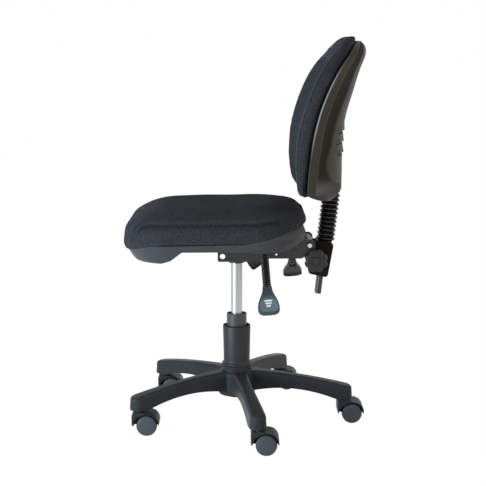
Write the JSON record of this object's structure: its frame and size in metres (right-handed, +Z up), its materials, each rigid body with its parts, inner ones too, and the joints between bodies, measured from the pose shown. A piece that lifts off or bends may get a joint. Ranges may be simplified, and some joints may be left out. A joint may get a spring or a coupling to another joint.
{
  "type": "office chair",
  "caption": "Swivel task chair with a castor base, gas lift, lever-set seat and back tilt, upholstered seat and a height-adjustable curved back.",
  "frame": {"origin": "on the floor, on the lift column's axis", "axes": "+Z up, -Y the way the chair faces, +X to the sitter's left"},
  "size_m": [0.5643, 0.5848, 0.9525],
  "materials": {
    "base_nylon": "satin moulded",
    "column_black": "semi-gloss powder coat",
    "guide_plastic": "moulded",
    "shroud_plastic": "satin moulded",
    "bright_steel": "ground",
    "stop_rubber": "matt",
    "cylinder_silver": "satin plated",
    "black_steel": "black powder coat",
    "zinc_steel": "zinc plated",
    "sleeve_rubber": "satin",
    "lever_plastic": "fine texture",
    "plywood": "pressed ply",
    "shell_plastic": "fine texture",
    "seat_fabric": "woven",
    "cover_plastic": "fine texture",
    "knob_plastic": "satin",
    "bellows_rubber": "satin",
    "castor_nylon": "satin",
    "castor_steel": "zinc plated",
    "wheel_nylon": "satin"
  },
  "bodies": {
    "base": {"star_base": "base_nylon", "column_tube": "column_black", "guide_bush": "guide_plastic", "column_shroud": "shroud_plastic", "thrust_bearing": "bright_steel"},
    "lift_rod": {"piston_rod": "bright_steel", "rod_clip": "bright_steel", "bump_stop": "stop_rubber"},
    "mechanism": {"gas_cylinder": "cylinder_silver", "mechanism_housing": "black_steel", "seat_pivot_pin": "bright_steel", "back_pivot_bolt": "zinc_steel"},
    "valve": {"valve_button": "bright_steel"},
    "gas_lever": {"gas_lever_rod": "black_steel", "gas_lever_paddle": "lever_plastic"},
    "seat_lever": {"seat_lever_rod": "black_steel", "seat_lever_sleeve": "sleeve_rubber", "seat_lever_paddle": "lever_plastic"},
    "back_lever": {"back_lever_rod": "black_steel", "back_lever_sleeve": "sleeve_rubber", "back_lever_paddle": "lever_plastic"},
    "seat": {"seat_plate": "black_steel", "seat_board": "plywood", "seat_shell": "shell_plastic", "seat_cushion": "seat_fabric", "seat_bolts": "zinc_steel", "arm_inserts": "zinc_steel"},
    "back_arm": {"back_bracket": "black_steel", "bracket_cover": "cover_plastic", "clamp_nut": "zinc_steel", "bellows": "bellows_rubber"},
    "clamp": {"clamp_knob": "knob_plastic", "clamp_stud": "zinc_steel"},
    "backrest": {"back_upright": "black_steel", "back_mount": "black_steel", "back_board": "plywood", "back_shell": "shell_plastic", "back_cushion": "seat_fabric", "back_screws": "zinc_steel"},
    "castor_1": {"castor_hood_1": "castor_nylon", "castor_pins_1": "castor_steel"},
    "wheel_left_1": {"castor_wheel_left_1": "wheel_nylon"},
    "wheel_right_1": {"castor_wheel_right_1": "wheel_nylon"},
    "castor_2": {"castor_hood_2": "castor_nylon", "castor_pins_2": "castor_steel"},
    "wheel_left_2": {"castor_wheel_left_2": "wheel_nylon"},
    "wheel_right_2": {"castor_wheel_right_2": "wheel_nylon"},
    "castor_3": {"castor_hood_3": "castor_nylon", "castor_pins_3": "castor_steel"},
    "wheel_left_3": {"castor_wheel_left_3": "wheel_nylon"},
    "wheel_right_3": {"castor_wheel_right_3": "wheel_nylon"},
    "castor_4": {"castor_hood_4": "castor_nylon", "castor_pins_4": "castor_steel"},
    "wheel_left_4": {"castor_wheel_left_4": "wheel_nylon"},
    "wheel_right_4": {"castor_wheel_right_4": "wheel_nylon"},
    "castor_5": {"castor_hood_5": "castor_nylon", "castor_pins_5": "castor_steel"},
    "wheel_left_5": {"castor_wheel_left_5": "wheel_nylon"},
    "wheel_right_5": {"castor_wheel_right_5": "wheel_nylon"}
  },
  "joints": [
    {"name": "seat_swivel", "type": "hinge", "parent": "base", "child": "lift_rod", "pos_m": [0, 0, 0.2], "axis": [0, 0, 1], "continuous": true},
    {"name": "seat_height", "type": "slide", "parent": "lift_rod", "child": "mechanism", "axis": [0, 0, 1], "range_m": [-0.12, 0]},
    {"name": "valve_press", "type": "slide", "parent": "mechanism", "child": "valve", "axis": [0, 0, 1], "range_m": [-0.0045, 0], "stiffness_N_per_m": 300},
    {"name": "gas_lever_lift", "type": "hinge", "parent": "mechanism", "child": "gas_lever", "pos_m": [-0.052, 0, 0.438], "axis": [0, 1, 0], "range_deg": [0, 4.5]},
    {"name": "seat_lever_turn", "type": "hinge", "parent": "mechanism", "child": "seat_lever", "pos_m": [0, 0.067, 0.436], "axis": [1, 0, 0], "range_deg": [0, 25]},
    {"name": "back_lever_turn", "type": "hinge", "parent": "mechanism", "child": "back_lever", "pos_m": [0, 0.14, 0.436], "axis": [1, 0, 0], "range_deg": [0, 25]},
    {"name": "seat_tilt", "type": "hinge", "parent": "mechanism", "child": "seat", "pos_m": [0, -0.03, 0.447], "axis": [1, 0, 0], "range_deg": [-2, 3]},
    {"name": "back_tilt", "type": "hinge", "parent": "mechanism", "child": "back_arm", "pos_m": [0, 0.178, 0.452], "axis": [1, 0, 0], "range_deg": [-16, 4]},
    {"name": "clamp_turn", "type": "hinge", "parent": "back_arm", "child": "clamp", "pos_m": [0, 0.19313, 0.41626], "axis": [1, 0, 0], "range_deg": [-360, 0]},
    {"name": "back_height", "type": "slide", "parent": "back_arm", "child": "backrest", "axis": [0, 0.1132, 0.9936], "range_m": [0, 0.05], "deforming": ["bellows"]},
    {"name": "castor_swivel_1", "type": "hinge", "parent": "base", "child": "castor_1", "pos_m": [0.03478, 0.26775, 0.061], "axis": [0, 0, 1], "continuous": true},
    {"name": "wheel_left_spin_1", "type": "hinge", "parent": "castor_1", "child": "wheel_left_1", "pos_m": [0.03478, 0.28775, 0.025], "axis": [1, 0, 0], "continuous": true},
    {"name": "wheel_right_spin_1", "type": "hinge", "parent": "castor_1", "child": "wheel_right_1", "pos_m": [0.03478, 0.28775, 0.025], "axis": [1, 0, 0], "continuous": true},
    {"name": "castor_swivel_2", "type": "hinge", "parent": "base", "child": "castor_2", "pos_m": [-0.2439, 0.11581, 0.061], "axis": [0, 0, 1], "continuous": true},
    {"name": "wheel_left_spin_2", "type": "hinge", "parent": "castor_2", "child": "wheel_left_2", "pos_m": [-0.2439, 0.13581, 0.025], "axis": [1, 0, 0], "continuous": true},
    {"name": "wheel_right_spin_2", "type": "hinge", "parent": "castor_2", "child": "wheel_right_2", "pos_m": [-0.2439, 0.13581, 0.025], "axis": [1, 0, 0], "continuous": true},
    {"name": "castor_swivel_3", "type": "hinge", "parent": "base", "child": "castor_3", "pos_m": [-0.18551, -0.19617, 0.061], "axis": [0, 0, 1], "continuous": true},
    {"name": "wheel_left_spin_3", "type": "hinge", "parent": "castor_3", "child": "wheel_left_3", "pos_m": [-0.18551, -0.17617, 0.025], "axis": [1, 0, 0], "continuous": true},
    {"name": "wheel_right_spin_3", "type": "hinge", "parent": "castor_3", "child": "wheel_right_3", "pos_m": [-0.18551, -0.17617, 0.025], "axis": [1, 0, 0], "continuous": true},
    {"name": "castor_swivel_4", "type": "hinge", "parent": "base", "child": "castor_4", "pos_m": [0.12925, -0.23705, 0.061], "axis": [0, 0, 1], "continuous": true},
    {"name": "wheel_left_spin_4", "type": "hinge", "parent": "castor_4", "child": "wheel_left_4", "pos_m": [0.12925, -0.21705, 0.025], "axis": [1, 0, 0], "continuous": true},
    {"name": "wheel_right_spin_4", "type": "hinge", "parent": "castor_4", "child": "wheel_right_4", "pos_m": [0.12925, -0.21705, 0.025], "axis": [1, 0, 0], "continuous": true},
    {"name": "castor_swivel_5", "type": "hinge", "parent": "base", "child": "castor_5", "pos_m": [0.26539, 0.04967, 0.061], "axis": [0, 0, 1], "continuous": true},
    {"name": "wheel_left_spin_5", "type": "hinge", "parent": "castor_5", "child": "wheel_left_5", "pos_m": [0.26539, 0.06967, 0.025], "axis": [1, 0, 0], "continuous": true},
    {"name": "wheel_right_spin_5", "type": "hinge", "parent": "castor_5", "child": "wheel_right_5", "pos_m": [0.26539, 0.06967, 0.025], "axis": [1, 0, 0], "continuous": true}
  ],
  "couplings": [
    {"joint": "valve_press", "follows": "gas_lever_lift", "m_per_rad": -0.052}
  ]
}
